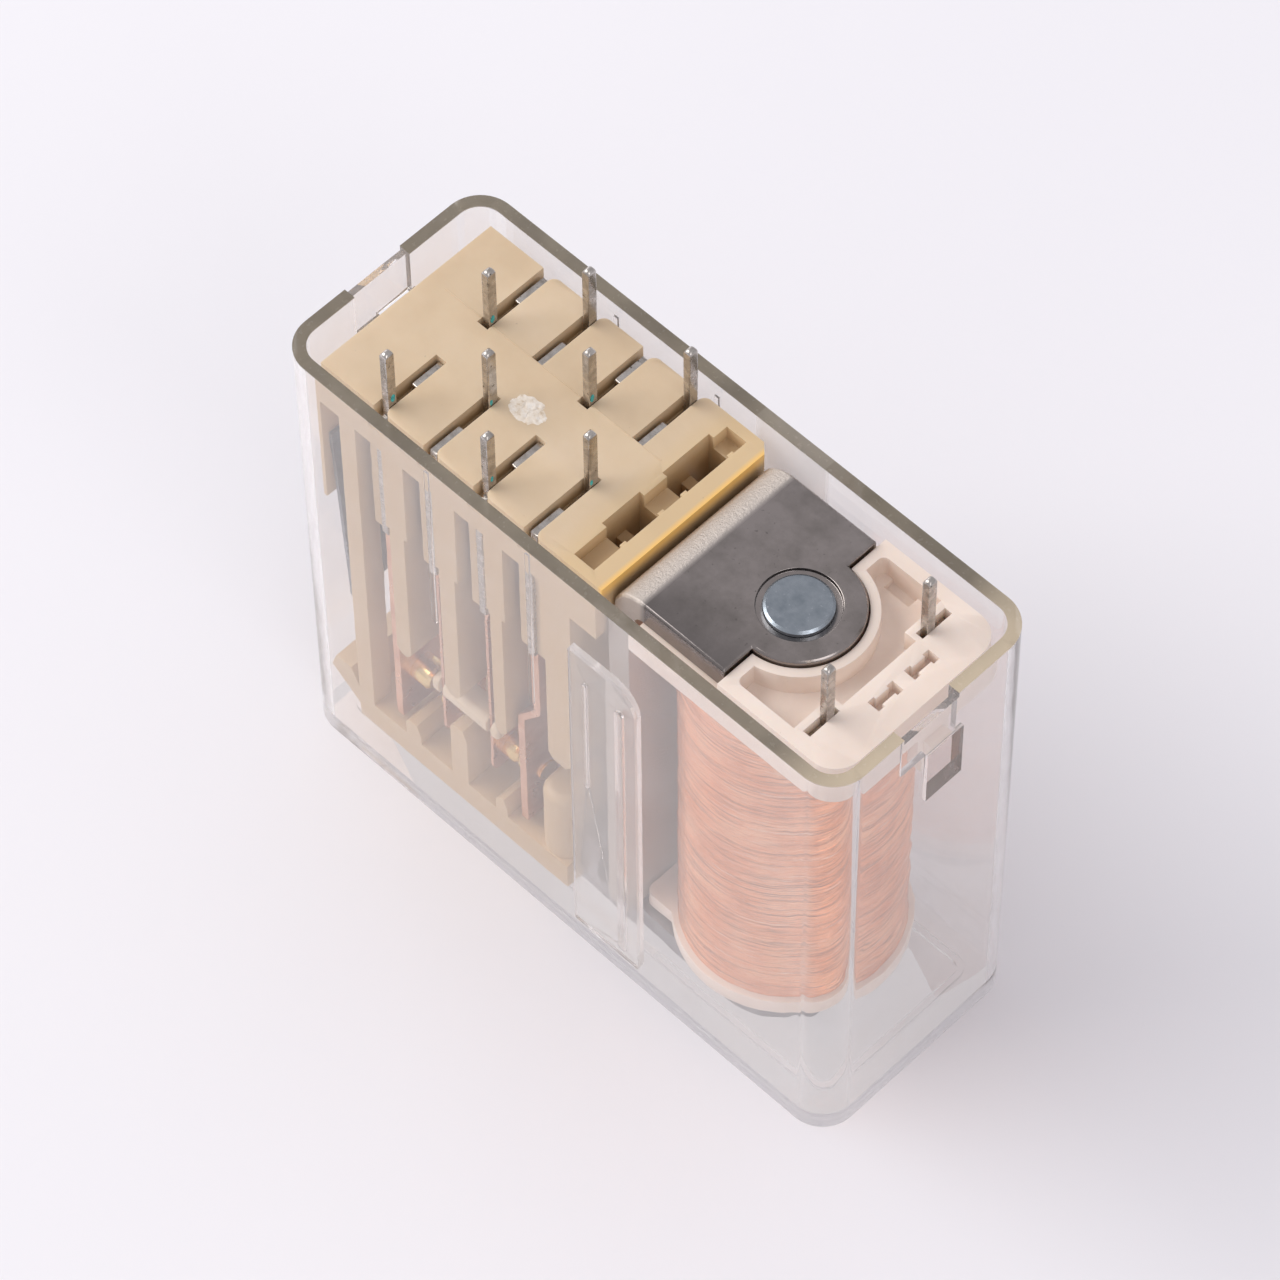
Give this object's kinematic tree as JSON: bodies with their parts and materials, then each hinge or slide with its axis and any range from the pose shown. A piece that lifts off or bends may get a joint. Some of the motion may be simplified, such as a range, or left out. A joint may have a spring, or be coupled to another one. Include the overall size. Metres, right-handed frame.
{
  "type": "plug in relay",
  "caption": "Plug in relay with a clear box cover, beige contact base, staggered pins, forcibly guided contact springs and a copper wound magnet.",
  "frame": {"origin": "centre of the outer face of the cover's closed end", "axes": "+Z along the pins, away from the closed end; +X towards the coil; +Y across the narrow width, towards terminals 5 to 8"},
  "size_m": [0.041, 0.0154, 0.0387],
  "materials": {
    "clear_plastic": "clear polycarbonate, polished",
    "beige_plastic": "moulded beige thermoplastic, slightly waxy",
    "card_plastic": "moulded thermoplastic",
    "ivory_plastic": "moulded pinkish ivory thermoplastic",
    "dark_steel": "blued spring steel",
    "nickel_iron": "satin nickel plate",
    "zinc_iron": "blue zinc plate",
    "dark_iron": "dark nickel plate",
    "enamelled_copper": "enamelled copper wire",
    "tinned_pin": "tinned",
    "contact_copper": "copper alloy strip",
    "spring_bronze": "bronze spring strip",
    "contact_gold": "gold flashed"
  },
  "bodies": {
    "housing": {"bobbin": "ivory_plastic", "coil_lead_1": "enamelled_copper", "coil_lead_2": "enamelled_copper", "coil_terminal_1": "tinned_pin", "coil_terminal_2": "tinned_pin", "contact_base": "beige_plastic", "core": "zinc_iron", "cover": "clear_plastic", "fixed_contact_1": "contact_gold", "fixed_contact_2": "contact_gold", "fixed_contact_3": "contact_gold", "fixed_contact_4": "contact_gold", "fixed_spring_1": "contact_copper", "fixed_spring_2": "contact_copper", "fixed_spring_3": "contact_copper", "fixed_spring_4": "contact_copper", "terminal_1": "tinned_pin", "terminal_2": "tinned_pin", "terminal_3": "tinned_pin", "terminal_4": "tinned_pin", "terminal_5": "tinned_pin", "terminal_6": "tinned_pin", "terminal_7": "tinned_pin", "terminal_8": "tinned_pin", "winding": "enamelled_copper", "yoke": "nickel_iron"},
    "armature": {"armature": "dark_iron"},
    "card": {"actuator_card": "card_plastic"},
    "return_leaf": {"return_spring": "dark_steel"},
    "contact_spring_1": {"moving_spring_1": "spring_bronze", "moving_contact_1": "contact_gold"},
    "contact_spring_2": {"moving_spring_2": "spring_bronze", "moving_contact_2": "contact_gold"},
    "contact_spring_3": {"moving_spring_3": "spring_bronze", "moving_contact_3": "contact_gold"},
    "contact_spring_4": {"moving_spring_4": "spring_bronze", "moving_contact_4": "contact_gold"}
  },
  "joints": [
    {"name": "armature_pivot", "type": "hinge", "parent": "housing", "child": "armature", "pos_m": [0.0028, 0, 0.0044], "axis": [0, -1, 0], "range_deg": [0, 5.5], "stiffness_Nm_per_rad": 0.002, "springref_deg": -20.05},
    {"name": "card_slide", "type": "slide", "parent": "housing", "child": "card", "axis": [-1, 0, 0], "range_m": [0, 0.0007014]},
    {"name": "return_leaf_root", "type": "hinge", "parent": "housing", "child": "return_leaf", "pos_m": [-0.01796, 0, 0.0282], "axis": [0, 1, 0], "range_deg": [0, 2.45]},
    {"name": "contact_spring_1_root", "type": "hinge", "parent": "housing", "child": "contact_spring_1", "pos_m": [-0.01013, -0.0043, 0.023], "axis": [0, 1, 0], "range_deg": [0, 3.53]},
    {"name": "contact_spring_2_root", "type": "hinge", "parent": "housing", "child": "contact_spring_2", "pos_m": [-0.00637, -0.0043, 0.023], "axis": [0, 1, 0], "range_deg": [0, 3.53]},
    {"name": "contact_spring_3_root", "type": "hinge", "parent": "housing", "child": "contact_spring_3", "pos_m": [-0.01013, 0.0043, 0.023], "axis": [0, 1, 0], "range_deg": [0, 3.53]},
    {"name": "contact_spring_4_root", "type": "hinge", "parent": "housing", "child": "contact_spring_4", "pos_m": [-0.00637, 0.0043, 0.023], "axis": [0, 1, 0], "range_deg": [0, 3.53]}
  ],
  "couplings": [
    {"joint": "card_slide", "follows": "armature_pivot", "m_per_rad": 0.0072922},
    {"joint": "return_leaf_root", "follows": "armature_pivot", "ratio": 0.44368},
    {"joint": "contact_spring_1_root", "follows": "armature_pivot", "ratio": 0.63967},
    {"joint": "contact_spring_2_root", "follows": "armature_pivot", "ratio": 0.63967},
    {"joint": "contact_spring_3_root", "follows": "armature_pivot", "ratio": 0.63967},
    {"joint": "contact_spring_4_root", "follows": "armature_pivot", "ratio": 0.63967}
  ]
}
